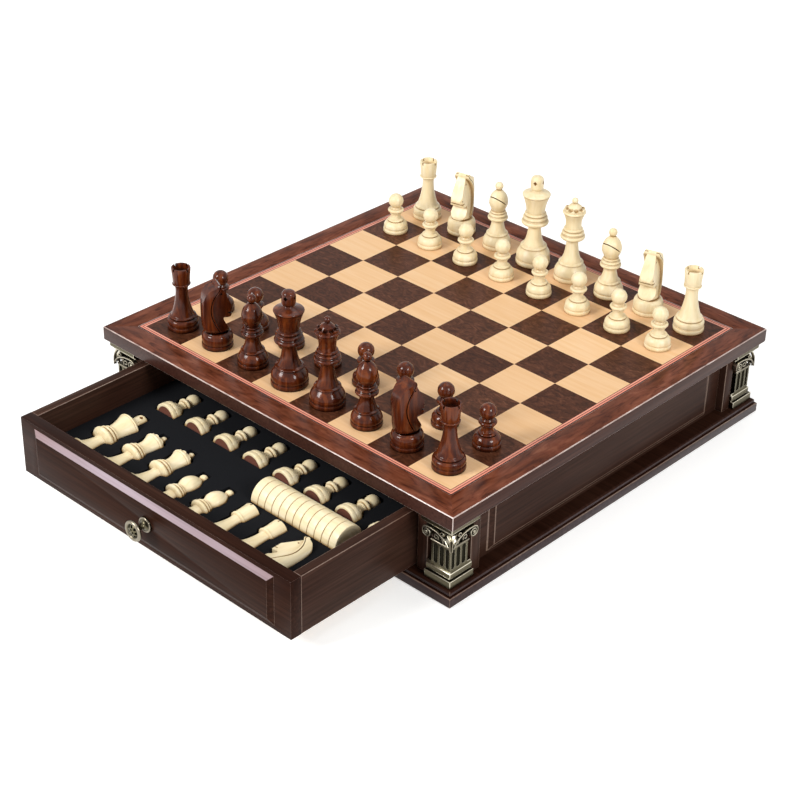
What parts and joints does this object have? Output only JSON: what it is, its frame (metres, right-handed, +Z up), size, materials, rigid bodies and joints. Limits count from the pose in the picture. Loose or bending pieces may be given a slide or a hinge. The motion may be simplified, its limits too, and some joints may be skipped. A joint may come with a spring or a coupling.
{
  "type": "chess box with drawers",
  "caption": "Square chess box with an inlaid board, cast corner columns, two foam-trayed drawers on slides, and a set of turned chessmen and draughts.",
  "frame": {"origin": "centre of the underside, on the surface that the box stands on", "axes": "+Z up, +X to the right seen from the front, -Y the way the front drawer opens"},
  "size_m": [0.38, 0.5147, 0.1593],
  "materials": {
    "case_wood": "espresso stain under gloss lacquer",
    "border_veneer": "walnut burl veneer, gloss lacquer",
    "dark_veneer": "dark burl veneer, gloss lacquer",
    "light_veneer": "maple veneer, satin lacquer",
    "stringing": "dyed inlay lines under lacquer",
    "runner_wood": "bare plywood and beech",
    "dark_man": "red-brown stained, gloss lacquer",
    "light_man": "pale natural wood, satin lacquer",
    "antique_metal": "antique pewter finish on a zinc alloy casting, dark in its recesses",
    "tray_foam": "flocked black foam",
    "baize": "green baize"
  },
  "bodies": {
    "case": {"underside_baize": "baize", "base_moulding": "case_wood", "base_panel": "case_wood", "corner_posts": "case_wood", "corner_columns": "antique_metal", "side_panels": "case_wood", "drawer_divider": "case_wood", "drawer_runners": "runner_wood", "top_rails": "case_wood", "board_core": "case_wood", "board_border": "border_veneer", "board_stringing": "stringing", "dark_squares": "dark_veneer", "light_squares": "light_veneer"},
    "front_drawer": {"front_drawer_face": "case_wood", "front_drawer_box": "case_wood", "front_drawer_bottom": "runner_wood", "front_drawer_foam": "tray_foam", "front_drawer_knob": "antique_metal", "stored_light_men": "light_man", "stored_light_draughts": "light_man"},
    "back_drawer": {"back_drawer_face": "case_wood", "back_drawer_box": "case_wood", "back_drawer_bottom": "runner_wood", "back_drawer_foam": "tray_foam", "back_drawer_knob": "antique_metal", "stored_dark_men": "dark_man", "stored_dark_draughts": "dark_man"},
    "dark_rook_1": {"dark_rook_1": "dark_man"},
    "dark_knight_1": {"dark_knight_1": "dark_man"},
    "dark_bishop_1": {"dark_bishop_1": "dark_man"},
    "dark_king": {"dark_king": "dark_man"},
    "dark_queen": {"dark_queen": "dark_man"},
    "dark_bishop_2": {"dark_bishop_2": "dark_man"},
    "dark_knight_2": {"dark_knight_2": "dark_man"},
    "dark_rook_2": {"dark_rook_2": "dark_man"},
    "dark_pawn_1": {"dark_pawn_1": "dark_man"},
    "dark_pawn_2": {"dark_pawn_2": "dark_man"},
    "dark_pawn_3": {"dark_pawn_3": "dark_man"},
    "dark_pawn_4": {"dark_pawn_4": "dark_man"},
    "dark_pawn_5": {"dark_pawn_5": "dark_man"},
    "dark_pawn_6": {"dark_pawn_6": "dark_man"},
    "dark_pawn_7": {"dark_pawn_7": "dark_man"},
    "dark_pawn_8": {"dark_pawn_8": "dark_man"},
    "light_rook_1": {"light_rook_1": "light_man"},
    "light_knight_1": {"light_knight_1": "light_man"},
    "light_bishop_1": {"light_bishop_1": "light_man"},
    "light_king": {"light_king": "light_man"},
    "light_queen": {"light_queen": "light_man"},
    "light_bishop_2": {"light_bishop_2": "light_man"},
    "light_knight_2": {"light_knight_2": "light_man"},
    "light_rook_2": {"light_rook_2": "light_man"},
    "light_pawn_1": {"light_pawn_1": "light_man"},
    "light_pawn_2": {"light_pawn_2": "light_man"},
    "light_pawn_3": {"light_pawn_3": "light_man"},
    "light_pawn_4": {"light_pawn_4": "light_man"},
    "light_pawn_5": {"light_pawn_5": "light_man"},
    "light_pawn_6": {"light_pawn_6": "light_man"},
    "light_pawn_7": {"light_pawn_7": "light_man"},
    "light_pawn_8": {"light_pawn_8": "light_man"}
  },
  "joints": [
    {"name": "back_drawer_slide", "type": "slide", "parent": "case", "child": "back_drawer", "axis": [0, 1, 0], "range_m": [0, 0.14]},
    {"name": "front_drawer_slide", "type": "slide", "parent": "case", "child": "front_drawer", "axis": [0, -1, 0], "range_m": [-0.1295, 0.0105]},
    {"name": "lift_dark_rook_1", "type": "slide", "parent": "case", "child": "dark_rook_1", "axis": [0, 0, 1], "range_m": [0, 0.1]},
    {"name": "lift_dark_knight_1", "type": "slide", "parent": "case", "child": "dark_knight_1", "axis": [0, 0, 1], "range_m": [0, 0.1]},
    {"name": "lift_dark_bishop_1", "type": "slide", "parent": "case", "child": "dark_bishop_1", "axis": [0, 0, 1], "range_m": [0, 0.1]},
    {"name": "lift_dark_king", "type": "slide", "parent": "case", "child": "dark_king", "axis": [0, 0, 1], "range_m": [0, 0.1]},
    {"name": "lift_dark_queen", "type": "slide", "parent": "case", "child": "dark_queen", "axis": [0, 0, 1], "range_m": [0, 0.1]},
    {"name": "lift_dark_bishop_2", "type": "slide", "parent": "case", "child": "dark_bishop_2", "axis": [0, 0, 1], "range_m": [0, 0.1]},
    {"name": "lift_dark_knight_2", "type": "slide", "parent": "case", "child": "dark_knight_2", "axis": [0, 0, 1], "range_m": [0, 0.1]},
    {"name": "lift_dark_rook_2", "type": "slide", "parent": "case", "child": "dark_rook_2", "axis": [0, 0, 1], "range_m": [0, 0.1]},
    {"name": "lift_dark_pawn_1", "type": "slide", "parent": "case", "child": "dark_pawn_1", "axis": [0, 0, 1], "range_m": [0, 0.1]},
    {"name": "lift_dark_pawn_2", "type": "slide", "parent": "case", "child": "dark_pawn_2", "axis": [0, 0, 1], "range_m": [0, 0.1]},
    {"name": "lift_dark_pawn_3", "type": "slide", "parent": "case", "child": "dark_pawn_3", "axis": [0, 0, 1], "range_m": [0, 0.1]},
    {"name": "lift_dark_pawn_4", "type": "slide", "parent": "case", "child": "dark_pawn_4", "axis": [0, 0, 1], "range_m": [0, 0.1]},
    {"name": "lift_dark_pawn_5", "type": "slide", "parent": "case", "child": "dark_pawn_5", "axis": [0, 0, 1], "range_m": [0, 0.1]},
    {"name": "lift_dark_pawn_6", "type": "slide", "parent": "case", "child": "dark_pawn_6", "axis": [0, 0, 1], "range_m": [0, 0.1]},
    {"name": "lift_dark_pawn_7", "type": "slide", "parent": "case", "child": "dark_pawn_7", "axis": [0, 0, 1], "range_m": [0, 0.1]},
    {"name": "lift_dark_pawn_8", "type": "slide", "parent": "case", "child": "dark_pawn_8", "axis": [0, 0, 1], "range_m": [0, 0.1]},
    {"name": "lift_light_rook_1", "type": "slide", "parent": "case", "child": "light_rook_1", "axis": [0, 0, 1], "range_m": [0, 0.1]},
    {"name": "lift_light_knight_1", "type": "slide", "parent": "case", "child": "light_knight_1", "axis": [0, 0, 1], "range_m": [0, 0.1]},
    {"name": "lift_light_bishop_1", "type": "slide", "parent": "case", "child": "light_bishop_1", "axis": [0, 0, 1], "range_m": [0, 0.1]},
    {"name": "lift_light_king", "type": "slide", "parent": "case", "child": "light_king", "axis": [0, 0, 1], "range_m": [0, 0.1]},
    {"name": "lift_light_queen", "type": "slide", "parent": "case", "child": "light_queen", "axis": [0, 0, 1], "range_m": [0, 0.1]},
    {"name": "lift_light_bishop_2", "type": "slide", "parent": "case", "child": "light_bishop_2", "axis": [0, 0, 1], "range_m": [0, 0.1]},
    {"name": "lift_light_knight_2", "type": "slide", "parent": "case", "child": "light_knight_2", "axis": [0, 0, 1], "range_m": [0, 0.1]},
    {"name": "lift_light_rook_2", "type": "slide", "parent": "case", "child": "light_rook_2", "axis": [0, 0, 1], "range_m": [0, 0.1]},
    {"name": "lift_light_pawn_1", "type": "slide", "parent": "case", "child": "light_pawn_1", "axis": [0, 0, 1], "range_m": [0, 0.1]},
    {"name": "lift_light_pawn_2", "type": "slide", "parent": "case", "child": "light_pawn_2", "axis": [0, 0, 1], "range_m": [0, 0.1]},
    {"name": "lift_light_pawn_3", "type": "slide", "parent": "case", "child": "light_pawn_3", "axis": [0, 0, 1], "range_m": [0, 0.1]},
    {"name": "lift_light_pawn_4", "type": "slide", "parent": "case", "child": "light_pawn_4", "axis": [0, 0, 1], "range_m": [0, 0.1]},
    {"name": "lift_light_pawn_5", "type": "slide", "parent": "case", "child": "light_pawn_5", "axis": [0, 0, 1], "range_m": [0, 0.1]},
    {"name": "lift_light_pawn_6", "type": "slide", "parent": "case", "child": "light_pawn_6", "axis": [0, 0, 1], "range_m": [0, 0.1]},
    {"name": "lift_light_pawn_7", "type": "slide", "parent": "case", "child": "light_pawn_7", "axis": [0, 0, 1], "range_m": [0, 0.1]},
    {"name": "lift_light_pawn_8", "type": "slide", "parent": "case", "child": "light_pawn_8", "axis": [0, 0, 1], "range_m": [0, 0.1]}
  ]
}
